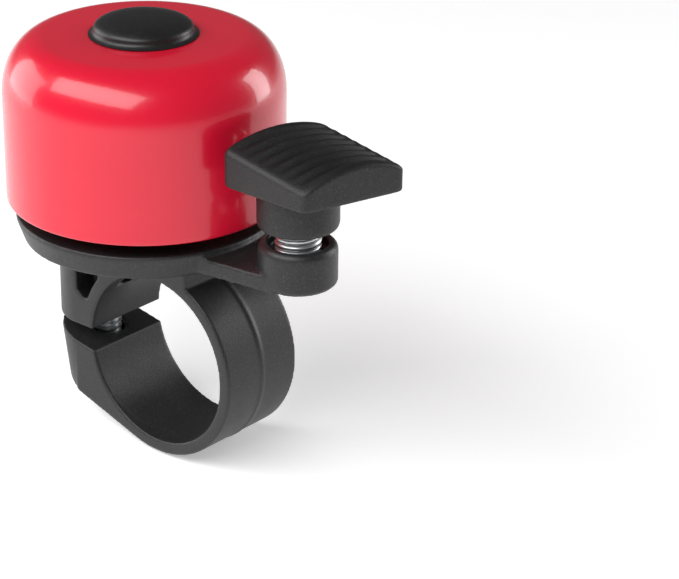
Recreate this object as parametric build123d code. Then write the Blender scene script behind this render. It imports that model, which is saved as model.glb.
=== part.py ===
from build123d import *
import os
from math import asin, atan2, cos, radians, sin, sqrt, tan

# Bicycle bell: a dome bell on a swivelling plate, clamped to a handlebar, rung by a
# thumb lever that stands on a coil spring.
# Millimetres. Origin: centre of the handlebar bore. +Y along the handlebar, +Z up along
# the bell's axis, +X from the bell towards the thumb lever. The clamp jaws are at -X.

# ---- Fits -------------------------------------------------------------------------------
running_gap = 0.05      # radial, a pin that turns or slides in its hole
seat_gap = 0.05         # between a piece and the recess that holds it
swivel_gap = 0.05       # between the base plate and the clamp it turns on
screw_room = 0.35       # radial, round a screw where nothing guides it

# ---- Handlebar clamp --------------------------------------------------------------------
bar_radius = 11.1       # 22.2 mm handlebar
band_wall = 1.65        # flexible band round the bar
clamp_width = 12.4      # along the bar
saddle_top = bar_radius + 2.95  # flat top that the base plate turns on
saddle_front = 5.5      # +X face of the saddle block
saddle_roof = 1.0       # over the nut for the centre screw
jaw_gap_top = 0.75      # lower face of the upper jaw
jaw_gap_low = -1.6      # top of the lower jaw, under the clamp screw
jaw_open_angle = 10.0   # the lower jaw stands open by this much before it is tightened
jaw_depth = 6.2         # lower jaw, from its top face to its bottom corner
pocket_web = 2.8        # half thickness of the web between the two moulded core-outs
pocket_floor = 4.8
pocket_band = 1.75      # material left between the core-out and the bore
flash_height = 0.12     # raised parting line round the middle of the band
flash_width = 0.35

# ---- M4 hardware ------------------------------------------------------------------------
thread_radius = 2.0
thread_pitch = 0.7
thread_depth = 0.35
nut_flats = 7.0
nut_height = 3.2
clamp_screw_x = -(bar_radius + nut_flats / 2 + 0.2)
thin_nut_height = 2.2
washer_thickness = 0.6
clamp_seat_z = -4.9     # underside of the lower jaw's screw seat
clamp_head_radius = 3.2
clamp_head_height = 2.4
clamp_screw_tip = 7.0
clamp_nut_z = 1.4       # bottom of the nut moulded into the upper jaw
clamp_washer_radius = 3.6

# ---- Base plate, post, arm and boss -------------------------------------------------------
bell_x = -6.8           # the bell's axis
plate_inset = 1.05      # the plate's top edge lies this far inside the dome's wall
plate_taper = 0.95      # the plate is this much smaller below
plate_thickness = 3.23
sleeve_radius = thread_radius + 1.0
post_radius = sleeve_radius + 1.6
disc_washer_radius = sleeve_radius + 3.0
disc_washer_thickness = 0.45
arm_overhang = 7.75     # lever axis outside the dome's wall
arm_root_half_width = 6.1
arm_thickness = 2.1
boss_lift = 0.3         # the arm and boss stand this much above the plate's underside
boss_height = 5.5
boss_wall = 1.15        # at the socket's mouth
boss_edge = 1.0
socket_mouth_step = 0.7     # the mouth is this much wider than the socket, in radius
socket_mouth_depth = 1.4
socket_floor = 1.0      # plastic left under the lower socket, over the upper one

# ---- Dome -------------------------------------------------------------------------------
dome_radius = 17.5
dome_wall = 0.9
rim_lift = 1.87         # the rim stands this much above the plate
dome_height = 20.8
shoulder_width = 5.4
shoulder_height = 7.3
crown_rise = 0.1        # the top swells this much outside the cap
well_radius = 5.2       # pressed well under the cap
well_depth = 1.6
dome_hole_radius = thread_radius + 1.0

# ---- Stack under the cap ------------------------------------------------------------------
pad_ring_thickness = 0.6    # upper isolator flange
low_ring_thickness = 1.5    # lower isolator, between the post and the dome
seat_thickness = 0.6        # floor of the cap seat
seat_wall = 0.6
seat_height = 2.0
seat_bead = 0.15
head_washer_thickness = 0.5
head_height = 1.3
cap_radius = 6.15
cap_flare = 0.65        # the skirt stands out this much
cap_flare_height = 0.55
cap_height = 2.4        # above the dome
cap_wall = 0.75
cap_crown_radius = 14.0
cap_shoulder = 0.35

# ---- Striker ------------------------------------------------------------------------------
spring_wire = 0.7
spring_radius = 2.85    # outside of the coil
spring_pitch = spring_wire + 0.1
core_flange = 0.6       # disc at the buried end of each spring core
core_length = 3.6       # part of a core inside the coil
core_tail_radius = 1.2  # peg that holds a core in the moulding
core_tail = 1.2         # length of the upper core's peg
stem_margin = 0.15      # the stem is this much wider than the boss, in radius
stem_gap = 1.95         # open coils between the boss and the stem
stem_edge = 0.9
stem_socket_depth = 4.35
pad_lift = 5.35         # underside of the pad above the stem's lower end
pad_length = 13.0       # along X
pad_width = 13.6        # along Y
pad_shift = 2.35        # centre of the pad beyond the stem's axis
pad_skew = 16.6         # degrees, the ends lean back from square
pad_inner_side = 4.9    # height of the sides at the dome end, mean of the two
pad_outer_side = 2.6
pad_side_step = 0.35    # the +Y side is higher than the mean by this, the -Y side lower
pad_inner_crown = 1.5   # the middle is higher than the sides by this
pad_outer_crown = 1.9
pad_corner = 0.8
rib_count = 6
rib_pitch = 1.6
rib_depth = 0.35
rib_share = 0.6         # of the pitch that is rib
hammer_radius = 1.75
hammer_lift = 2.4       # above the underside of the pad
hammer_gap = 1.4        # from the dome at rest
hammer_buried = 3.0     # length inside the lever

# ---- Places worked out from the sizes above -------------------------------------------------
half = clamp_width / 2
band_radius = bar_radius + band_wall
plate_bottom = saddle_top + swivel_gap
plate_top = plate_bottom + plate_thickness
plate_top_radius = dome_radius - plate_inset
plate_bottom_radius = plate_top_radius - plate_taper
pocket_left = clamp_screw_x + 1.0
pocket_right = bell_x - 3.1
lever_x = bell_x + dome_radius + arm_overhang
rim_z = plate_top + rim_lift
dome_top = rim_z + dome_height
well_floor = dome_top - well_depth
post_top = well_floor - dome_wall - low_ring_thickness
seat_bottom = well_floor + pad_ring_thickness
washer_bottom = seat_bottom + seat_thickness
head_bottom = washer_bottom + head_washer_thickness + swivel_gap
seat_radius = well_radius - 0.75
head_washer_radius = seat_radius - seat_wall + seat_gap
head_radius = head_washer_radius - 0.3
cap_top = dome_top + cap_height
cap_flare_radius = cap_radius + cap_flare
spring_bore = spring_radius - spring_wire
socket_radius = spring_radius + 0.15
socket_mouth_radius = socket_radius + socket_mouth_step
boss_radius = socket_mouth_radius + boss_wall
boss_bottom = plate_bottom + boss_lift
boss_top = boss_bottom + boss_height
stem_radius = boss_radius + stem_margin
stem_bottom = boss_top + stem_gap
lever_socket_top = stem_bottom + stem_socket_depth
pad_bottom = stem_bottom + pad_lift
hammer_z = pad_bottom + hammer_lift
boss_socket_z = boss_bottom + socket_floor
spring_bottom = boss_socket_z + core_flange
spring_top = lever_socket_top - core_flange
hammer_tip_x = bell_x + dome_radius + hammer_gap
hammer_length = lever_x + pad_shift - pad_length / 2 - hammer_tip_x + hammer_buried
centre_nut_top = saddle_top - saddle_roof
centre_nut_low = centre_nut_top - thin_nut_height
beyond = 30             # reaches past every face of the clamp
os.makedirs("parts", exist_ok=True)


def save(shape, name):
    """Writes one piece to its own STEP file."""
    export_step(Part() + shape, f"parts/{name}.step")


def disc(radius, bottom, top, x=0.0, y=0.0):
    """Upright cylinder between two heights."""
    return Pos(x, y, (bottom + top) / 2) * Cylinder(radius, top - bottom)


def ring(inner, outer, bottom, top, x=0.0):
    """Upright tube between two heights."""
    return disc(outer, bottom, top, x) - disc(inner, bottom - 1, top + 1, x)


def slab(x0, x1, y0, y1, z0, z1):
    """Box between two corners."""
    return Pos((x0 + x1) / 2, (y0 + y1) / 2, (z0 + z1) / 2) * Box(x1 - x0, y1 - y0, z1 - z0)


def turned(points, x):
    """Solid of revolution about an upright axis from a (radius, height) outline."""
    outline = Polyline(*[(r, 0, z) for r, z in points], close=True)
    return Pos(x, 0, 0) * revolve(make_face(outline), Axis.Z)


def side_plate(points, y0, y1):
    """Prism along Y from an outline in X and Z."""
    face = make_face(Polyline(*[(x, y0, z) for x, z in points], close=True))
    return extrude(face, amount=y1 - y0, dir=(0, 1, 0))


def hexagon(flats, bottom, top, x, turn):
    """Upright hexagonal prism with two flats facing +Y and -Y, then turned by some degrees."""
    across = flats / sqrt(3)
    return Pos(x, 0, bottom) * Rot(0, 0, turn) * extrude(RegularPolygon(across, 6), top - bottom)


def bored_nut(flats, bottom, top, x, turn=0):
    """Hexagon nut with chamfered corners, its bore a running fit on the screw."""
    crest = flats / 2 + 0.35
    cone_drop = 0.3
    body = hexagon(flats, bottom, top, x, turn) & turned(
        [(0, bottom), (crest, bottom), (crest + cone_drop, bottom + cone_drop),
         (crest + cone_drop, top - cone_drop), (crest, top), (0, top)], x)
    return body - disc(thread_radius + running_gap, bottom - 1, top + 1, x)


def threaded_stretch(bottom, top, x):
    """Screw shank whose crests are rings one pitch apart, standing for the thread."""
    root = thread_radius - thread_depth
    points = [(0, bottom), (root, bottom)]
    z = bottom + thread_pitch / 2
    while z + thread_pitch / 2 < top:
        points += [(root, z - thread_pitch * 0.42), (thread_radius, z - thread_pitch * 0.1),
                   (thread_radius, z + thread_pitch * 0.1), (root, z + thread_pitch * 0.42)]
        z += thread_pitch
    points += [(root, top), (0, top)]
    return turned(points, x)


def cross_recess(radius, depth, z, x, up):
    """Cross-shaped driver recess cut into a screw head at height z."""
    bar = Box(radius * 2, radius * 0.5, depth) + Box(radius * 0.5, radius * 2, depth)
    return Pos(x, 0, z - up * depth / 2) * bar


# ---- Clamp: saddle, upper jaw, flexible band and lower jaw in one moulding ------------------
def lower_jaw_outline():
    """XZ outline of the lower jaw and its web, down to the band's tangent."""
    tilt = radians(jaw_open_angle)
    end_x = clamp_screw_x + 0.6 - half
    top_end = (end_x, jaw_gap_low + (clamp_screw_x - end_x) * tan(tilt))
    low_end = (end_x - jaw_depth * sin(tilt), top_end[1] - jaw_depth * cos(tilt))
    reach = sqrt(low_end[0] ** 2 + low_end[1] ** 2)
    toward = atan2(low_end[1], low_end[0])
    touch = toward + radians(90) - asin(band_radius / reach)
    tangent = (band_radius * cos(touch), band_radius * sin(touch))
    bore_top = (-bar_radius * 0.9, jaw_gap_low + (bar_radius * 0.9 + clamp_screw_x) * tan(tilt))
    return [top_end, low_end, tangent, (0, -bar_radius - band_wall / 2), (0, -2), bore_top]


def clamp_band():
    """Clamp moulding with its bore, screw hole, trapped-nut pockets and core-outs."""
    round_x = clamp_screw_x + 0.6
    end_round = disc(half, -beyond, beyond, round_x) + slab(
        round_x, beyond, -half, half, -beyond, beyond)
    band = Rot(90, 0, 0) * Cylinder(band_radius, clamp_width)
    upper = slab(round_x - half, 0, -half, half, jaw_gap_top, saddle_top)
    upper += slab(-1, saddle_front, -half, half, 2, saddle_top)
    lower = side_plate(lower_jaw_outline(), -half, half)
    lower = fillet(lower.edges().filter_by(Axis.Y).sort_by(Axis.X)[0:1], 1.6)
    body = band - slab(-beyond, -4, -half - 1, half + 1, -beyond, jaw_gap_top)
    body = body + (upper & end_round)
    tilted = Pos(round_x, 0, 0) * Rot(0, -jaw_open_angle, 0) * Cylinder(half, beyond * 2)
    lower = lower & (tilted + slab(round_x, beyond, -half, half, -beyond, beyond))
    body += lower
    ridge = Rot(90, 0, 0) * Cylinder(band_radius + flash_height, flash_width)
    body += ridge & slab(-2, beyond, -half, half, -beyond, saddle_top)
    body -= Rot(90, 0, 0) * Cylinder(bar_radius, clamp_width * 2)
    for side in (-1, 1):
        cut = side_plate(
            [(pocket_left, pocket_floor + 1), (pocket_left + 1.1, pocket_floor),
             (pocket_left + 1.9, pocket_floor), (pocket_right, 7.5), (pocket_right, saddle_top + 1),
             (pocket_left, saddle_top + 1)], pocket_web, half + 1)
        cut -= Rot(90, 0, 0) * Cylinder(bar_radius + pocket_band, clamp_width * 3)
        body -= cut if side > 0 else mirror(cut, about=Plane.XZ)
    # centre screw hole and the thin nut's pocket, open to the bore
    body -= disc(thread_radius + screw_room, 0, saddle_top + 1, bell_x)
    body -= hexagon(nut_flats + 2 * seat_gap, bar_radius * 0.6, centre_nut_top, bell_x, 0)
    # clamp screw: hole in both jaws, counterbore below, nut moulded into the upper jaw
    body -= disc(thread_radius + screw_room, clamp_seat_z - 1, clamp_screw_tip + 1, clamp_screw_x)
    body -= disc(clamp_washer_radius + screw_room, -beyond, clamp_seat_z, clamp_screw_x)
    body -= hexagon(nut_flats + 2 * seat_gap, clamp_nut_z - seat_gap,
                    clamp_nut_z + nut_height + seat_gap, clamp_screw_x, 30)
    return body


def clamp_screw():
    """Pan-head M4 screw, head down, through both jaws."""
    seat = clamp_seat_z - washer_thickness
    head = turned([(0, seat), (clamp_head_radius, seat), (clamp_head_radius, seat - 1.4),
                   (clamp_head_radius - 0.9, seat - clamp_head_height),
                   (0, seat - clamp_head_height)], clamp_screw_x)
    head -= cross_recess(1.9, 1.5, seat - clamp_head_height, clamp_screw_x, -1)
    return head + threaded_stretch(seat - 0.1, clamp_screw_tip, clamp_screw_x)


# ---- Base plate: disc, post, arm and spring boss in one moulding ----------------------------
def base_plate():
    """Base plate with the post for the dome and the arm and boss for the lever."""
    disc_part = turned(
        [(0, plate_bottom), (plate_bottom_radius, plate_bottom), (plate_top_radius, plate_top - 0.5),
         (plate_top_radius, plate_top - 0.15), (plate_top_radius - 0.15, plate_top),
         (0, plate_top)], bell_x)
    post = turned([(0, plate_top - 0.5), (post_radius + 1.6, plate_top - 0.5),
                   (post_radius + 0.5, plate_top + 2.5), (post_radius, post_top), (0, post_top)],
                  bell_x)
    arm_top = boss_bottom + arm_thickness
    start_x = bell_x + 9
    root_x = bell_x + plate_bottom_radius - 0.3
    arm_face = make_face(Polyline(
        (start_x, -arm_root_half_width, boss_bottom), (root_x, -arm_root_half_width, boss_bottom),
        (lever_x, -boss_radius, boss_bottom), (lever_x, boss_radius, boss_bottom),
        (root_x, arm_root_half_width, boss_bottom),
        (start_x, arm_root_half_width, boss_bottom), close=True))
    arm = extrude(arm_face, amount=arm_top - boss_bottom, dir=(0, 0, 1))
    boss = turned(
        [(0, boss_bottom), (boss_radius - 0.5, boss_bottom), (boss_radius, boss_bottom + 0.5),
         (boss_radius, boss_top), (0, boss_top)], lever_x)
    rim_edge = boss.edges().filter_by(GeomType.CIRCLE).group_by(Axis.Z)[-1]
    boss = fillet(rim_edge, boss_edge)
    body = disc_part + post + arm + boss
    body -= disc(sleeve_radius + seat_gap, plate_bottom - 1, post_top + 1, bell_x)
    body -= disc(disc_washer_radius + 0.2, plate_bottom - 1,
                 plate_bottom + disc_washer_thickness + seat_gap, bell_x)
    body -= disc(socket_radius, boss_socket_z, boss_top + 1, lever_x)
    body -= disc(socket_mouth_radius, boss_top - socket_mouth_depth, boss_top + 1, lever_x)
    body -= disc(core_tail_radius + seat_gap, boss_bottom - 1, boss_bottom + 3, lever_x)
    return body


# ---- Dome ---------------------------------------------------------------------------------
def dome_skin(radius, top, width, height, well, well_floor_z):
    """Outline curves of the dome from its rim up to the axis, for one side of the wall."""
    shoulder_z = top - height
    shoulder_r = radius - width
    wall_line = Line((radius, 0, rim_z), (radius, 0, shoulder_z))
    shoulder = Plane.XZ * EllipticalCenterArc(
        (shoulder_r, shoulder_z), width, height, start_angle=0, arc_size=90)
    lip = well + 1.4
    crown = Spline((shoulder_r, 0, top), ((shoulder_r + lip) / 2, 0, top + crown_rise),
                   (lip, 0, top), tangents=[(-1, 0, 0), (-1, 0, 0)])
    slope = Line((lip, 0, top), (well, 0, top - 0.35))
    drop = Line((well, 0, top - 0.35), (well - 0.4, 0, well_floor_z))
    floor = Line((well - 0.4, 0, well_floor_z), (dome_hole_radius, 0, well_floor_z))
    return [wall_line, shoulder, crown, slope, drop, floor]


def dome():
    """Pressed bell dome with a rounded rim and a well for the screw."""
    outer = dome_skin(dome_radius, dome_top, shoulder_width, shoulder_height, well_radius, well_floor)
    inner = dome_skin(dome_radius - dome_wall, dome_top - dome_wall, shoulder_width - dome_wall / 2,
                      shoulder_height - dome_wall / 2, well_radius + dome_wall,
                      well_floor - dome_wall)
    hole = Line((dome_hole_radius, 0, well_floor), (dome_hole_radius, 0, well_floor - dome_wall))
    rim = Line((dome_radius, 0, rim_z), (dome_radius - dome_wall, 0, rim_z))
    shell = revolve(make_face(Wire(outer + [hole] + inner + [rim])), Axis.Z)
    rim_edges = shell.edges().filter_by(GeomType.CIRCLE).group_by(Axis.Z)[0]
    return Pos(bell_x, 0, 0) * fillet(rim_edges, dome_wall * 0.48)


# ---- Stack on the centre screw ----------------------------------------------------------------
def centre_screw():
    """Low-head M4 screw down the bell's axis into the saddle's nut."""
    plain_end = saddle_top + 1.0
    head = turned([(0, head_bottom), (head_radius, head_bottom), (head_radius, head_bottom + 0.6),
                   (head_radius - 0.8, head_bottom + head_height), (0, head_bottom + head_height)],
                  bell_x)
    head -= cross_recess(1.8, 0.9, head_bottom + head_height, bell_x, 1)
    shank = disc(thread_radius, plain_end, head_bottom + 0.1, bell_x)
    return head + shank + threaded_stretch(centre_nut_low, plain_end + 0.1, bell_x)


def upper_isolator():
    """Rubber washer on the dome's well with a spigot that centres the dome."""
    bore = thread_radius + screw_room
    flange = ring(bore, well_radius - 0.7, well_floor, seat_bottom, bell_x)
    spigot = ring(bore, dome_hole_radius - 0.1, well_floor - dome_wall + 0.1, well_floor + 0.1, bell_x)
    return flange + spigot


def cap_seat():
    """Nylon cup under the screw washer; the cap snaps over its bead."""
    top = seat_bottom + seat_height
    bead = seat_radius + seat_bead
    inside = seat_radius - seat_wall + 0.1
    bore = thread_radius + screw_room
    return turned([(bore, seat_bottom), (seat_radius, seat_bottom), (seat_radius, top - 0.7),
                   (bead, top - 0.4), (seat_radius, top - 0.1), (inside, top - 0.1),
                   (inside, washer_bottom), (bore, washer_bottom)], bell_x)


def top_cap():
    """Low moulded cap with a flared skirt; its inner collar grips the seat's bead."""
    skirt = dome_top + seat_gap
    neck = skirt + cap_flare_height
    flare = (cap_flare_radius - cap_radius) / 3
    drum = turned([(0, skirt), (cap_flare_radius, skirt), (cap_flare_radius - flare / 2, skirt + 0.12),
                   (cap_radius + flare, skirt + cap_flare_height * 0.5), (cap_radius, neck),
                   (cap_radius, cap_top + 1), (0, cap_top + 1)], bell_x)
    drum &= Pos(bell_x, 0, cap_top - cap_crown_radius) * Sphere(cap_crown_radius)
    round_edges = drum.edges().filter_by(GeomType.CIRCLE)
    shoulder = round_edges.filter_by(lambda e: abs(e.radius - cap_radius) < 0.01).sort_by(Axis.Z)[-1]
    drum = fillet([shoulder], cap_shoulder)
    collar = seat_radius + seat_bead + seat_gap
    ceiling = cap_top - cap_wall
    hollow = turned([(0, skirt - 1), (collar, skirt - 1), (collar, ceiling - 0.45),
                     (collar - 0.85, ceiling), (0, ceiling)], bell_x)
    return drum - hollow


# ---- Striker ------------------------------------------------------------------------------------
def spring():
    """Close-wound steel coil, its ends on the two cores."""
    mean = spring_radius - spring_wire / 2
    low = spring_bottom + spring_wire / 2
    high = spring_top - spring_wire / 2
    path = Helix(pitch=spring_pitch, height=high - low, radius=mean)
    start = path @ 0
    section = Plane(origin=start, z_dir=path % 0) * Circle(spring_wire / 2)
    return Pos(lever_x, 0, low) * sweep(section, path=path, is_frenet=True)


def spring_core(flange_z, way):
    """Steel core inside one end of the coil; way is +1 for the lower core, -1 for the upper."""
    inner = spring_bore - 0.1
    tail = socket_floor if way > 0 else core_tail
    levels = [(core_tail_radius, flange_z - way * tail), (core_tail_radius, flange_z),
              (spring_radius - 0.1, flange_z), (spring_radius - 0.1, flange_z + way * core_flange),
              (inner, flange_z + way * core_flange),
              (inner, flange_z + way * (core_flange + core_length - 0.4)),
              (inner - 0.4, flange_z + way * (core_flange + core_length))]
    points = [(0, levels[0][1])] + levels + [(0, levels[-1][1])]
    return turned(points, lever_x)


def pad_roof(drop):
    """Solid below the pad's arched, sloping top, lowered by drop; ruled from end to end."""
    lean = tan(radians(pad_skew))
    w = pad_width / 2 + 1
    spread = 2 * w / pad_width
    fall = (pad_inner_side - pad_outer_side) / pad_length
    faces = []
    for way, side, crown in ((-1, pad_inner_side, pad_inner_crown), (1, pad_outer_side, pad_outer_crown)):
        px = lever_x + pad_shift + way * (pad_length / 2 + 1)
        middle = pad_bottom + side + crown - way * fall - drop
        edge = middle - crown * spread ** 2
        low = pad_bottom - 3
        near = (px - lean * w, -w, edge - pad_side_step * spread)
        far = (px + lean * w, w, edge + pad_side_step * spread)
        arc = ThreePointArc(near, (px, 0, middle), far)
        box = Polyline(far, (px + lean * w, w, low), (px - lean * w, -w, low), near)
        faces.append(make_face(Wire([arc] + list(box.edges()))))
    return loft(faces, ruled=True)


def skewed_slab(x_low, x_high, low, high):
    """Upright slab across the pad whose ends lean with the pad's skew."""
    lean = tan(radians(pad_skew)) * pad_width / 2
    px = lever_x + pad_shift
    corners = [(px + x_low - lean, -pad_width / 2), (px + x_high - lean, -pad_width / 2),
               (px + x_high + lean, pad_width / 2), (px + x_low + lean, pad_width / 2)]
    face = make_face(Polyline(*[(x, y, low) for x, y in corners], close=True))
    return extrude(face, amount=high - low, dir=(0, 0, 1))


def thumb_lever():
    """Thumb pad with ribbed, arched top on a round stem with a spring socket."""
    plan = skewed_slab(-pad_length / 2, pad_length / 2, pad_bottom, pad_bottom + 10)
    plan = fillet(plan.edges().filter_by(Axis.Z), pad_corner)
    pad = plan & pad_roof(rib_depth)
    rib_half = rib_pitch * rib_share / 2
    edge_rib = pad_length / 2 - rib_pitch * (rib_count - 1) / 2 - rib_half
    full = plan & pad_roof(0)
    for i in range(rib_count):
        centre = (i - (rib_count - 1) / 2) * rib_pitch
        pad += full & skewed_slab(centre - rib_half, centre + rib_half, pad_bottom + 0.5, pad_bottom + 10)
    for side in (-1, 1):
        inner = side * (pad_length / 2 - edge_rib + rib_pitch * (1 - rib_share))
        outer = side * (pad_length / 2 + 1)
        pad += full & skewed_slab(min(inner, outer), max(inner, outer), pad_bottom + 0.5,
                                  pad_bottom + 10)
    stem = turned([(0, stem_bottom), (stem_radius, stem_bottom), (stem_radius, pad_bottom + 0.5),
                   (0, pad_bottom + 0.5)], lever_x)
    stem = fillet(stem.edges().filter_by(GeomType.CIRCLE).group_by(Axis.Z)[0], stem_edge)
    body = pad + stem
    body -= disc(socket_radius, stem_bottom - 1, lever_socket_top, lever_x)
    body -= disc(socket_mouth_radius, stem_bottom - 1, stem_bottom + socket_mouth_depth, lever_x)
    body -= disc(core_tail_radius + seat_gap, lever_socket_top - 1, lever_socket_top + core_tail + seat_gap,
                 lever_x)
    body -= Pos(hammer_tip_x, 0, hammer_z) * Rot(0, 90, 0) * Cylinder(
        hammer_radius + seat_gap, hammer_length * 2 + 2 * seat_gap)
    return body


def hammer():
    """Steel striker pin pressed into the pad's inner face, its tip rounded."""
    pin = Pos(hammer_tip_x + hammer_length / 2, 0, hammer_z) * Rot(0, 90, 0) * Cylinder(
        hammer_radius, hammer_length)
    tip = pin.edges().filter_by(GeomType.CIRCLE).sort_by(Axis.X)[0]
    return fillet([tip], hammer_radius * 0.6)


save(clamp_band(), "clamp_band")
save(clamp_screw(), "clamp_screw")
save(ring(thread_radius + running_gap, clamp_washer_radius, clamp_seat_z - washer_thickness,
          clamp_seat_z, clamp_screw_x), "clamp_washer")
save(bored_nut(nut_flats, clamp_nut_z, clamp_nut_z + nut_height, clamp_screw_x, 30), "clamp_nut")
save(bored_nut(nut_flats, centre_nut_low, centre_nut_top, bell_x), "centre_nut")
save(centre_screw(), "centre_screw")
save(base_plate(), "base_plate")
save(ring(thread_radius + running_gap, sleeve_radius, plate_bottom, post_top, bell_x), "spacer_sleeve")
save(ring(sleeve_radius + 0.2, disc_washer_radius, plate_bottom, plate_bottom + disc_washer_thickness,
          bell_x), "friction_washer")
save(ring(thread_radius + screw_room, post_radius - 0.1, post_top, well_floor - dome_wall, bell_x),
     "lower_isolator")
save(dome(), "dome")
save(upper_isolator(), "upper_isolator")
save(cap_seat(), "cap_seat")
save(ring(thread_radius + screw_room, head_washer_radius, washer_bottom,
          washer_bottom + head_washer_thickness, bell_x), "head_washer")
save(top_cap(), "top_cap")
save(spring(), "striker_spring")
save(spring_core(boss_socket_z, 1), "lower_spring_core")
save(spring_core(lever_socket_top, -1), "upper_spring_core")
save(thumb_lever(), "thumb_lever")
save(hammer(), "hammer")
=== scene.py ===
import bmesh
import bpy
import numpy as np
from mathutils import Matrix, Vector


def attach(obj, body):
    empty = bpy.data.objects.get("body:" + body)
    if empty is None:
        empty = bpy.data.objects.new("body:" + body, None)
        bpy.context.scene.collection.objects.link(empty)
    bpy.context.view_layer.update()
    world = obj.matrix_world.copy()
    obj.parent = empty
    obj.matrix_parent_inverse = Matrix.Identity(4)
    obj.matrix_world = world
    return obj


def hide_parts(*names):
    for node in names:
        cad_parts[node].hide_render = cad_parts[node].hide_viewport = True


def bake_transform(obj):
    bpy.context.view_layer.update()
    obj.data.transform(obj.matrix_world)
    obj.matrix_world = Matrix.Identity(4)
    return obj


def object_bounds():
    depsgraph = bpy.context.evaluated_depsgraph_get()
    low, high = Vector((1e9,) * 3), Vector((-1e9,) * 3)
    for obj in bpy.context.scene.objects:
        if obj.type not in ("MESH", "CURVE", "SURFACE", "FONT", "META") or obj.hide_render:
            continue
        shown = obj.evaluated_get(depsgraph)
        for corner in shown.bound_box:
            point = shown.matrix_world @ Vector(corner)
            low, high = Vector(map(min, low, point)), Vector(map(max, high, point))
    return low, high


# A bicycle bell on its handlebar clamp. The frame's origin is the centre of the handlebar bore,
# +Z runs up the bell's axis, +Y along the handlebar and +X from the dome to the thumb lever.
# Lengths are in millimetres until a mesh is made.
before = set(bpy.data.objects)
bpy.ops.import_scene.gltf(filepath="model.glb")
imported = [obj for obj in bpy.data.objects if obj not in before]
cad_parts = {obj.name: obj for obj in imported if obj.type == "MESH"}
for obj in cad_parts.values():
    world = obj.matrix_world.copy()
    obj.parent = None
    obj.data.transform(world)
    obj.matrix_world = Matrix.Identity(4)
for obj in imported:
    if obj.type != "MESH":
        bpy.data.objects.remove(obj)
cad_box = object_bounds()

# ---- Dome -----------------------------------------------------------------------------------
# The dome is one piece of mild steel sheet, pressed to a cup with a rounded shoulder and a
# shallow dish for the cap, its lower rim tumbled round, then sprayed red and baked to a gloss.
BELL_X = -6.8
DOME_RADIUS = 17.5
DOME_WALL = 0.9
RIM_Z = 19.2
CROWN_Z = 40.0
SHOULDER_WIDTH = 5.4
SHOULDER_HEIGHT = 7.3
CROWN_SWELL = 0.1
SCREW_HOLE = 3.0
LIP_RADIUS = DOME_WALL / 2


def rounded(points, radii, steps=8):
    """Closed outline with each corner P turned to a curve: from P + (A - P) k to P + (B - P) k,
    along the quadratic (1-t)^2 start + 2t(1-t) P + t^2 end, where A and B are its neighbours
    and k is the corner's radius over the side's length."""
    p = np.array(points, float)
    before, after = np.roll(p, 1, 0) - p, np.roll(p, -1, 0) - p
    lengths = [np.linalg.norm(v, axis=1, keepdims=True) for v in (before, after)]
    reach = np.broadcast_to(np.array(radii, float), len(p))[:, None]
    start, end = [p + v / n * np.minimum(reach, n * 0.49) for v, n in zip((before, after), lengths)]
    t = np.linspace(0, 1, steps)[None, :, None]
    curve = (1 - t) ** 2 * start[:, None] + 2 * t * (1 - t) * p[:, None] + t ** 2 * end[:, None]
    return curve.reshape(-1, 2)


def turned(outline, x=0.0, y=0.0, count=192):
    """Grid of a closed (radius, height) outline turned about the upright axis at x, y:
    P(i, a) = (x + r_i cos a, y + r_i sin a, z_i)."""
    a = np.arange(count) * 2 * np.pi / count
    r, z = np.array(outline, float).T
    return np.stack([x + r[:, None] * np.cos(a), y + r[:, None] * np.sin(a),
                     np.broadcast_to(z[:, None], (len(z), count))], -1)


def joined(name, grids, flat_angle=40.0):
    """One mesh from grids of points in millimetres. Every grid closes across its second index;
    it closes across its first too when it is a loop, and otherwise ends in two flat fans."""
    places, faces, start = [], [], 0
    for grid, loop in grids:
        n, m = grid.shape[:2]
        index = start + np.arange(n * m).reshape(n, m)
        low = index if loop else index[:-1]
        high = np.roll(index, -1, 0) if loop else index[1:]
        quads = np.stack([low, np.roll(low, -1, 1), np.roll(high, -1, 1), high], -1)
        faces += quads.reshape(-1, 4).tolist()
        places.append(grid.reshape(-1, 3))
        start += n * m
        if not loop:
            places.append(np.array([grid[0].mean(0), grid[-1].mean(0)]))
            first, last = index[0], index[-1]
            faces += np.stack([np.roll(first, -1), first, np.full(m, start)], -1).tolist()
            faces += np.stack([last, np.roll(last, -1), np.full(m, start + 1)], -1).tolist()
            start += 2
    mesh = bpy.data.meshes.new(name)
    mesh.from_pydata(np.concatenate(places) / 1000, [], faces)
    tidy = bmesh.new()
    tidy.from_mesh(mesh)
    bmesh.ops.remove_doubles(tidy, verts=tidy.verts, dist=1e-7)
    bmesh.ops.recalc_face_normals(tidy, faces=tidy.faces)
    tidy.to_mesh(mesh)
    tidy.free()
    mesh.shade_smooth()
    mesh.set_sharp_from_angle(angle=np.radians(flat_angle))
    piece = bpy.data.objects.new(name, mesh)
    bpy.context.scene.collection.objects.link(piece)
    return piece


def linear(code):
    """Linear colour from an sRGB hex code: c / 12.92 up to 0.04045, else ((c + 0.055) / 1.055)^2.4."""
    c = np.array([int(code[i:i + 2], 16) for i in (1, 3, 5)]) / 255
    return (*np.where(c <= 0.04045, c / 12.92, ((c + 0.055) / 1.055) ** 2.4), 1.0)


def add(tree, kind, links=(), **settings):
    """Adds a node; settings name its properties or sockets, links give (input, output socket)."""
    made = tree.nodes.new("ShaderNode" + kind)
    for key, value in settings.items():
        if hasattr(made, key):
            setattr(made, key, value)
        else:
            made.inputs[key.replace("_", " ")].default_value = value
    for target, source in links:
        tree.links.new(source, made.inputs[target])
    return made


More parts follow.
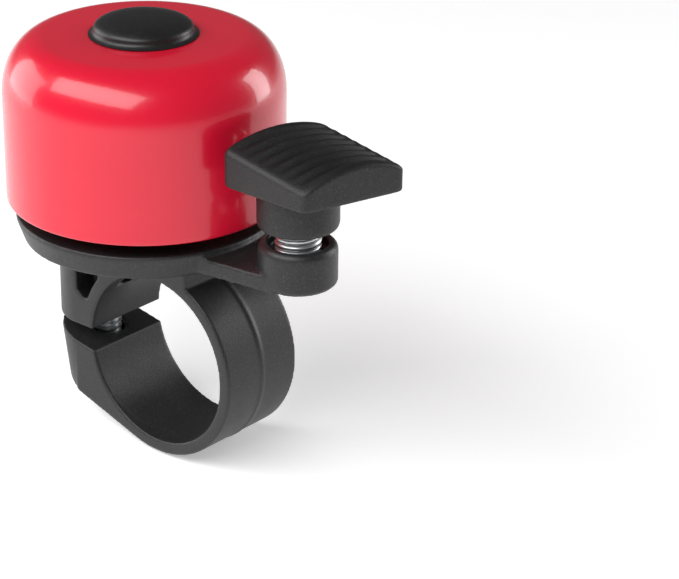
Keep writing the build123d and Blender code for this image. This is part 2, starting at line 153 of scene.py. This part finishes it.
def material(name, **settings):
    """New node material; returns it with its tree, its shader and its object coordinates."""
    made = bpy.data.materials.new(name)
    made.use_nodes = True
    tree = made.node_tree
    shader = tree.nodes["Principled BSDF"]
    for key, value in settings.items():
        shader.inputs[key.replace("_", " ")].default_value = value
    return made, tree, shader, add(tree, "TexCoord").outputs["Object"]


def superellipse(centre_r, centre_z, width, height, power, steps=40):
    """Quarter curve |(r - centre_r) / width|^p + |(z - centre_z) / height|^p = 1, outwards to up."""
    t = np.linspace(0, np.pi / 2, steps)
    return np.stack([centre_r + width * np.cos(t) ** (2 / power),
                     centre_z + height * np.sin(t) ** (2 / power)], -1)


def dome_side(offset):
    """Outline of the dome's skin moved in by offset, from the rim to the screw hole's edge."""
    half = offset / 2
    shoulder_r, shoulder_z = DOME_RADIUS - SHOULDER_WIDTH, CROWN_Z - SHOULDER_HEIGHT
    wall_z = np.linspace(RIM_Z + LIP_RADIUS, shoulder_z - 0.7, 12)
    wall = np.stack([np.full(len(wall_z), DOME_RADIUS - offset), wall_z], -1)
    shoulder = superellipse(shoulder_r - half, shoulder_z - half, SHOULDER_WIDTH - half,
                            SHOULDER_HEIGHT - half, 2.1)
    r = np.linspace(12.0, 7.2, 16)
    swell = CROWN_SWELL * np.sin((r[0] - r) / (r[0] - r[-1]) * np.pi / 2)
    crown = np.stack([r, CROWN_Z - offset + swell], -1)
    dish = np.array([[6.9, 0.07], [6.5, -0.02], [5.9, -0.16], [5.2, -0.4], [4.95, -1.0], [4.8, -1.6],
                     [SCREW_HOLE, -1.6]]) + [offset, CROWN_Z - offset]
    dish[-1, 0] = SCREW_HOLE
    return np.concatenate([wall, shoulder, crown, dish])


lip = np.linspace(np.pi, 2 * np.pi, 14)[1:-1]
rolled_rim = np.stack([DOME_RADIUS - LIP_RADIUS + LIP_RADIUS * np.cos(lip),
                       RIM_Z + LIP_RADIUS + LIP_RADIUS * np.sin(lip)], -1)
dome_outline = np.concatenate([rolled_rim, dome_side(0.0), dome_side(DOME_WALL)[::-1]])
dome = joined("bell_dome", [(turned(dome_outline, BELL_X, count=256), True)])
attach(dome, "bell")
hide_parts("dome")

# Baked enamel over steel: a deep red under a clear, even gloss, with a faint long ripple left
# by the spray and fine dust nibs under 0.1 mm high, drawn 0.5 mm wide so that they show. Here
# and below, a pattern's scale is 1000 over its size in millimetres.
red_enamel, tree, shader, place = material(
    "baked_red_enamel", Roughness=0.26, IOR=1.45, Coat_Weight=0.5, Coat_Roughness=0.05, Coat_IOR=1.45)
cloud = add(tree, "TexNoise", [("Vector", place)], Scale=90.0, Detail=2.0)
tint = add(tree, "MixRGB", [("Fac", cloud.outputs["Fac"])],
           Color1=linear("#dc1030"), Color2=linear("#e41838"))
tree.links.new(tint.outputs["Color"], shader.inputs["Base Color"])
ripple = add(tree, "TexNoise", [("Vector", place)], Scale=260.0, Detail=1.0)
nibs = add(tree, "TexNoise", [("Vector", place)], Scale=2000.0, Detail=0.0)
height = add(tree, "Math", [(0, ripple.outputs["Fac"]), (1, nibs.outputs["Fac"])], operation="ADD")
bump = add(tree, "Bump", [("Height", height.outputs["Value"])], Strength=0.05, Distance=0.0002)
tree.links.new(bump.outputs["Normal"], shader.inputs["Normal"])
dome.data.materials.append(red_enamel)

# ---- Cap ------------------------------------------------------------------------------------
# The cap is a small ABS moulding with a low crown and a skirt that flares onto the dome. It
# snaps over the seat under it and hides the screw head.
CAP_RADIUS = 6.15
cap_inside = [[0.0, 1.45], [3.6, 1.45], [4.65, 1.1], [4.65, 0.1], [4.75, 0.02], [6.65, 0.02]]
cap_skirt = [[6.78, 0.07], [6.8, 0.14], [6.62, 0.22], [6.4, 0.34], [6.24, 0.52], [6.17, 0.7]]
cap_outline = np.concatenate([cap_inside, cap_skirt, superellipse(0.0, 0.8, CAP_RADIUS, 1.58, 2.25, 48)])
cap_outline = cap_outline + [0.0, CROWN_Z]
cap = joined("bell_cap", [(turned(cap_outline, BELL_X, count=192), True)], 60.0)
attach(cap, "bell")
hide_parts("top_cap")


def moulded_plastic(name, colour, pale, roughness, grain_mm, grain_height_mm):
    """Moulded black plastic: a spark-eroded grain of the given size and height, cloudy patches
    where handling has polished it, and tiny pale scuffs on the peaks of the grain."""
    made, tree, shader, place = material(name, IOR=1.5)
    grain = add(tree, "TexNoise", [("Vector", place)], Scale=1000.0 / grain_mm, Detail=3.0, Roughness=0.6)
    patches = add(tree, "TexNoise", [("Vector", place)], Scale=220.0, Detail=3.0)
    peaks = add(tree, "MapRange", [("Value", grain.outputs["Fac"])], From_Min=0.52, From_Max=0.8)
    scuffs = add(tree, "Math", [(0, peaks.outputs["Result"]), (1, patches.outputs["Fac"])],
                 operation="MULTIPLY")
    tint = add(tree, "MixRGB", [("Fac", scuffs.outputs["Value"])],
               Color1=linear(colour), Color2=linear(pale))
    tree.links.new(tint.outputs["Color"], shader.inputs["Base Color"])
    sheen = add(tree, "MapRange", [("Value", patches.outputs["Fac"])], From_Min=0.3, From_Max=0.7,
                To_Min=roughness - 0.04, To_Max=roughness + 0.05)
    tree.links.new(sheen.outputs["Result"], shader.inputs["Roughness"])
    bump = add(tree, "Bump", [("Height", grain.outputs["Fac"])],
               Strength=0.6, Distance=grain_height_mm / 1000)
    tree.links.new(bump.outputs["Normal"], shader.inputs["Normal"])
    return made


# Semi-gloss ABS from a stoned mould: close, shallow grain and a soft reflection of the room.
cap.data.materials.append(moulded_plastic("semi_gloss_black_abs", "#19191a", "#3c3c3e", 0.4, 0.28, 0.02))

# ---- Base plate -----------------------------------------------------------------------------
# One glass-filled nylon moulding carries the dome's post, the arm and the boss that holds the
# lower end of the spring. Its edges are the mould's small radii.


def eased(name, node, cell, rounds):
    """Copy of a CAD node remade in cells of the given size, then relaxed: in each round every
    point moves half way to the mean of its neighbours, which turns sharp edges to small radii."""
    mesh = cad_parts[node].data.copy()
    mesh.materials.clear()
    tidy = bmesh.new()
    tidy.from_mesh(mesh)
    bmesh.ops.remove_doubles(tidy, verts=tidy.verts, dist=2e-6)
    tidy.to_mesh(mesh)
    tidy.free()
    rough = bpy.data.objects.new(name + "_rough", mesh)
    bpy.context.scene.collection.objects.link(rough)
    cells = rough.modifiers.new("cells", "REMESH")
    cells.mode = "VOXEL"
    cells.voxel_size = cell / 1000
    relax = rough.modifiers.new("relax", "SMOOTH")
    relax.iterations = rounds
    graph = bpy.context.evaluated_depsgraph_get()
    finished = bpy.data.meshes.new_from_object(rough.evaluated_get(graph))
    finished.name = name
    bpy.data.objects.remove(rough)
    finished.shade_smooth()
    piece = bpy.data.objects.new(name, finished)
    bpy.context.scene.collection.objects.link(piece)
    return piece


plate = eased("base_moulding", "base_plate", 0.24, 3)
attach(plate, "bell")
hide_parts("base_plate")
# Glass-filled nylon from an etched mould: a dark charcoal with a fine matt grain and pale scuffs.
black_nylon = moulded_plastic("etched_black_nylon", "#1e1e1f", "#565659", 0.44, 0.2, 0.04)
plate.data.materials.append(black_nylon)

# ---- Clamp ----------------------------------------------------------------------------------
# Saddle, jaws and band are one nylon moulding. The band is thin enough to open round the bar,
# and the mould's two halves meet in a fine line of flash round the middle of the band.
clamp = eased("clamp_moulding", "clamp_band", 0.21, 4)
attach(clamp, "clamp")
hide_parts("clamp_band")
clamp.data.materials.append(black_nylon)

# ---- Thumb lever ----------------------------------------------------------------------------
# The lever is moulded in one piece: a round stem with a socket for the spring, and a pad whose
# arched top is ribbed for the thumb. The ribs are soft waves that fade out before the near edge.
LEVER_X = 18.45
PAD_X = LEVER_X + 2.35
PAD_BOTTOM = 27.2
PAD_LENGTH = 13.0
PAD_WIDTH = 13.6
PAD_LEAN = np.tan(np.radians(16.6))
SIDE_STEP = 0.35
GROOVE_PITCH = 1.6
GROOVE_DEPTH = 0.55


def pad_height(a, b):
    """Height of the pad's top over its flat bottom. a runs -1 to 1 from the dome outwards and b
    -1 to 1 across: side(a) + step b + crown(a) (1 - b^2) - waves, where side falls from 4.95 to
    2.6, crown grows from 1.5 to 1.9, and the waves are seven grooves one pitch apart."""
    outwards = (a + 1) / 2
    side = 4.95 + (2.6 - 4.95) * outwards
    crown = 1.5 + (1.9 - 1.5) * outwards
    along = a * PAD_LENGTH / 2
    groove = (0.5 + 0.5 * np.cos(2 * np.pi * along / GROOVE_PITCH)) ** 1.3
    inside = np.clip((5.6 - np.abs(along)) / 0.5, 0, 1)
    fade = np.clip((b + 0.88) / 0.55, 0, 1) * np.clip((0.97 - b) / 0.12, 0, 1)
    return side + SIDE_STEP * b + crown * (1 - b ** 2) - GROOVE_DEPTH * groove * inside * fade


def rounded_square(t, power):
    """Point of the curve |a|^p + |b|^p = 1 at angle t, as two arrays."""
    c, s = np.cos(t), np.sin(t)
    k = (np.abs(c) ** power + np.abs(s) ** power) ** (-1 / power)
    return c * k, s * k


# The pad's surface is a stack of rings: each is its plan shrunk to a share and raised to a level
# of the top's height, from the flat bottom up the sides, over the edge and in to the middle.
count = 520
t = (np.arange(count) + 0.5) * 2 * np.pi / count
t = t + 0.18 * np.sin(4 * t)
edge_a, edge_b = rounded_square(t, 16.0)
edge_level = 0.86
rings = [(0.5, 0.0), (0.965, 0.0), (0.985, 0.02), (0.996, 0.07), (1.0, 0.14)]
rings += [(1.0, level) for level in np.linspace(0.2, edge_level, 10)]
rings += [(1.0 - 0.085 * (1 - np.cos(step)), edge_level + (1 - edge_level) * np.sin(step))
          for step in np.linspace(0, np.pi / 2, 8)[1:]]
rings += [(share, 1.0) for share in np.linspace(0.905, 0.004, 105)]
pad_rings = []
for share, level in rings:
    a, b = edge_a * share, edge_b * share
    z = PAD_BOTTOM + level * pad_height(a, b)
    pad_rings.append(np.stack([PAD_X + a * PAD_LENGTH / 2 + b * PAD_WIDTH / 2 * PAD_LEAN,
                               b * PAD_WIDTH / 2, z], -1))
stem_outline = rounded([[2.95, 26.2], [2.95, 23.25], [3.7, 23.25], [3.7, 21.85], [5.0, 21.85],
                        [5.0, 27.4], [0.01, 27.4], [0.01, 26.2]],
                       [0.1, 0.1, 0.1, 0.3, 0.95, 0.02, 0.002, 0.002], 10)
lever = joined("thumb_lever_moulding", [(np.array(pad_rings), False),
                                        (turned(stem_outline, LEVER_X, count=128), True)], 35.0)
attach(lever, "striker")
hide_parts("thumb_lever")
# The same nylon, with a coarser grain etched into the lever's mould for grip.
coarse_nylon = moulded_plastic("coarse_black_nylon", "#1b1b1c", "#58585b", 0.5, 0.2, 0.06)
lever.data.materials.append(coarse_nylon)

# The pad's top is painted darker, painted shade on its upward faces, and darker still down in the
# grooves, painted shade in the hollows. The top is found by its height and its upward slope.
tree = coarse_nylon.node_tree
shader = tree.nodes["Principled BSDF"]
place = add(tree, "TexCoord").outputs["Object"]
spot = add(tree, "SeparateXYZ", [("Vector", place)])
facing = add(tree, "SeparateXYZ", [("Vector", add(tree, "NewGeometry").outputs["Normal"])])
# Painted shade: the upward faces of the pad's top are darkened to 0.55 of the nylon's colour.
upward_faces = add(tree, "MapRange", [("Value", facing.outputs["Z"])], From_Min=0.3, From_Max=0.75)
on_pad = add(tree, "MapRange", [("Value", spot.outputs["Z"])],
             From_Min=(PAD_BOTTOM + 0.8) / 1000, From_Max=(PAD_BOTTOM + 1.2) / 1000)
painted_top_shade = add(tree, "Math", [(0, upward_faces.outputs["Result"]), (1, on_pad.outputs["Result"])],
           operation="MULTIPLY")
leaned = add(tree, "Math", [(0, spot.outputs["Y"])], operation="MULTIPLY")
leaned.inputs[1].default_value = -PAD_LEAN
along = add(tree, "Math", [(0, spot.outputs["X"]), (1, leaned.outputs["Value"])], operation="ADD")
phase = add(tree, "MapRange", [("Value", along.outputs["Value"])], clamp=False, From_Min=PAD_X / 1000,
            From_Max=(PAD_X + GROOVE_PITCH) / 1000, To_Min=0.0, To_Max=2 * np.pi)
wave = add(tree, "Math", [(0, phase.outputs["Result"])], operation="COSINE")
# Painted shade in the grooves: darkest down in each groove, fading out towards the near edge.
valley = add(tree, "MapRange", [("Value", wave.outputs["Value"])], From_Min=-0.2, From_Max=0.9)
near_edge = add(tree, "MapRange", [("Value", spot.outputs["Y"])], From_Min=-0.006, From_Max=-0.002)
painted_groove_shade = add(tree, "Math", [(0, valley.outputs["Result"]), (1, near_edge.outputs["Result"])],
           operation="MULTIPLY")
painted_shade_depth = add(tree, "MapRange", [("Value", painted_groove_shade.outputs["Value"])], To_Min=0.55, To_Max=0.12)
cover = add(tree, "MixRGB", [("Fac", painted_top_shade.outputs["Value"]), ("Color2", painted_shade_depth.outputs["Result"])],
            Color1=(1, 1, 1, 1))
base = add(tree, "MixRGB", [("Color1", shader.inputs["Base Color"].links[0].from_socket),
                            ("Color2", cover.outputs["Color"])], blend_type="MULTIPLY", Fac=1.0)
tree.links.new(base.outputs["Color"], shader.inputs["Base Color"])

# ---- Spring ---------------------------------------------------------------------------------
# The striker stands on a close-wound coil of 0.7 mm hard-drawn wire. The coil is in two halves
# that meet at the middle.
SPRING_LOW, SPRING_HIGH, SPRING_MID = 16.0, 25.6, 20.875
WIRE = 0.7
COIL_RADIUS = 2.85 - WIRE / 2
PITCH = 0.8
BEND_LOW, BEND_HIGH = 19.0, 22.8    # the free coils, between the two sockets
BEND_MARGIN = 0.4                   # next to the hinges, where neither half bends


def coil(low, high, count):
    """Wire round the helix P(s) = (R cos 2 pi s, R sin 2 pi s, low + pitch s), as rings of radius
    wire / 2 in the plane of the outward and upward directions at each s."""
    turn = np.linspace((low - SPRING_LOW) / PITCH, (high - SPRING_LOW) / PITCH, count)
    spin = 2 * np.pi * turn[:, None]
    ring = np.arange(20) * 2 * np.pi / 20
    r = COIL_RADIUS + WIRE / 2 * np.cos(ring)
    z = SPRING_LOW + PITCH * turn[:, None] + WIRE / 2 * np.sin(ring)
    return np.stack([LEVER_X + r * np.cos(spin), r * np.sin(spin), z], -1)


# Polished spring wire: bright steel with fine level drawing lines.
bright_wire, tree, shader, place = material("polished_spring_wire", Metallic=1.0, Roughness=0.36)
stretched = add(tree, "Mapping", [("Vector", place)], Scale=(300, 300, 9000))
lines = add(tree, "TexNoise", [("Vector", stretched.outputs["Vector"])], Scale=1.0, Detail=2.0)
tint = add(tree, "MixRGB", [("Fac", lines.outputs["Fac"])],
           Color1=linear("#dcdddf"), Color2=linear("#f0f1f2"))
tree.links.new(tint.outputs["Color"], shader.inputs["Base Color"])
for half, bodies, low, high, start, end in (
        ("lower", ("bell", "coil"), SPRING_LOW + WIRE / 2, SPRING_MID, BEND_LOW, SPRING_MID - BEND_MARGIN),
        ("upper", ("coil", "striker"), SPRING_MID, SPRING_HIGH - WIRE / 2,
         SPRING_MID + BEND_MARGIN, BEND_HIGH)):
    piece = joined("spring_" + half, [(coil(low, high, 360), False)], 80.0)
    piece.data.materials.append(bright_wire)
    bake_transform(piece)
    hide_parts("striker_spring")

# ---- Screws, nuts and washers ---------------------------------------------------------------
# The hardware is stock M4 steel, zinc plated: cold-headed screws, punched washers, and nuts
# that are trapped in the mouldings.
zinc_steel, tree, shader, place = material("zinc_plated_steel", Metallic=1.0)
blotch = add(tree, "TexNoise", [("Vector", place)], Scale=700.0, Detail=4.0)
tint = add(tree, "MixRGB", [("Fac", blotch.outputs["Fac"])],
           Color1=linear("#8e9092"), Color2=linear("#bcbec0"))
tree.links.new(tint.outputs["Color"], shader.inputs["Base Color"])
polish = add(tree, "MapRange", [("Value", blotch.outputs["Fac"])], To_Min=0.24, To_Max=0.42)
tree.links.new(polish.outputs["Result"], shader.inputs["Roughness"])
scratches = add(tree, "Bump", [("Height", blotch.outputs["Fac"])], Strength=0.2, Distance=0.00002)
tree.links.new(scratches.outputs["Normal"], shader.inputs["Normal"])
hardware = ("clamp_screw", "clamp_washer", "clamp_nut", "centre_nut", "centre_screw", "spacer_sleeve",
            "head_washer", "lower_spring_core", "upper_spring_core", "hammer")

# ---- Washers and rings of nylon and rubber --------------------------------------------------
# The friction disc and the cap's seat are natural nylon; the two rings that hold the dome so
# that it can still sound are black rubber.
natural_nylon, tree, shader, place = material("natural_nylon", IOR=1.53, Roughness=0.42)
haze = add(tree, "TexNoise", [("Vector", place)], Scale=500.0, Detail=3.0)
tint = add(tree, "MixRGB", [("Fac", haze.outputs["Fac"])], Color1=linear("#d6d2c4"), Color2=linear("#e4e1d6"))
tree.links.new(tint.outputs["Color"], shader.inputs["Base Color"])
black_rubber, tree, shader, place = material("black_rubber", IOR=1.52, Roughness=0.75)
dust = add(tree, "TexNoise", [("Vector", place)], Scale=1800.0, Detail=3.0)
tint = add(tree, "MixRGB", [("Fac", dust.outputs["Fac"])], Color1=linear("#161616"), Color2=linear("#2b2b2b"))
tree.links.new(tint.outputs["Color"], shader.inputs["Base Color"])
for names, look in ((hardware, zinc_steel), (("friction_washer", "cap_seat"), natural_nylon),
                    (("lower_isolator", "upper_isolator"), black_rubber)):
    for name in names:
        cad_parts[name].data.materials.clear()
        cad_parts[name].data.materials.append(look)

# ---- Room -----------------------------------------------------------------------------------
# A sheet of white paper under the clamp, a dim white room, a wide soft lamp high in front, a
# soft one low on the left, and a tall one behind on the right that lines the far edges.
bpy.ops.mesh.primitive_plane_add(size=6.0, location=(0, 0, cad_box[0][2] - 0.0002))
floor = bpy.context.object
floor.name = "floor"
paper, tree, shader, place = material("white_paper", Roughness=0.9)
shader.inputs["Base Color"].default_value = linear("#f4f4f4")
shader.inputs["Emission Color"].default_value = (1, 1, 1, 1)
shader.inputs["Emission Strength"].default_value = 0.35
floor.data.materials.append(paper)


def lamp(name, place, aim, size, power):
    """Square soft lamp at place, facing aim."""
    light = bpy.data.lights.new(name, "AREA")
    light.shape = "RECTANGLE"
    light.size, light.size_y = size
    light.energy = power
    holder = bpy.data.objects.new(name, light)
    holder.location = place
    holder.rotation_euler = (Vector(aim) - Vector(place)).to_track_quat("-Z", "Y").to_euler()
    bpy.context.scene.collection.objects.link(holder)


lamp("key_softbox", (-0.03, -0.31, 0.33), (0, 0, 0.02), (0.60, 0.24), 2.3)
lamp("left_softbox", (-0.40, -0.12, 0.08), (0, 0, 0.02), (0.30, 0.36), 1.0)
lamp("back_softbox", (0.20, 0.40, 0.10), (0, 0, 0.02), (0.16, 0.34), 1.0)
world = bpy.data.worlds.new("pale_room")
world.use_nodes = True
tree = world.node_tree
seen = add(tree, "LightPath")
glow = add(tree, "MapRange", [("Value", seen.outputs["Is Camera Ray"])], To_Min=0.12, To_Max=1.0)
tree.links.new(glow.outputs["Result"], tree.nodes["Background"].inputs["Strength"])
tree.nodes["Background"].inputs["Color"].default_value = (1, 1, 1, 1)
bpy.context.scene.world = world
bpy.context.scene.view_settings.view_transform = "Standard"

# ---- Camera ---------------------------------------------------------------------------------
# A long lens a third of a metre away, 40 degrees round to the lever's side and 25 degrees up.
azimuth, elevation, roll = np.radians([40.129, 24.763, 0.806])
back = np.array([np.sin(azimuth) * np.cos(elevation), -np.cos(azimuth) * np.cos(elevation),
                 np.sin(elevation)])
level = np.array([np.cos(azimuth), np.sin(azimuth), 0.0])
upward = np.cross(back, level)
right = np.cos(roll) * level + np.sin(roll) * upward
top = np.cos(roll) * upward - np.sin(roll) * level
lens = bpy.data.cameras.new("long_lens")
lens.sensor_width = 36.0
lens.lens = 131.01
lens.clip_start = 0.01
camera = bpy.data.objects.new("camera", lens)
turn = Matrix(np.stack([right, top, back], 1).tolist()).to_4x4()
camera.matrix_world = Matrix.Translation((0.196640, -0.203596, 0.138271)) @ turn
bpy.context.scene.collection.objects.link(camera)
bpy.context.scene.camera = camera
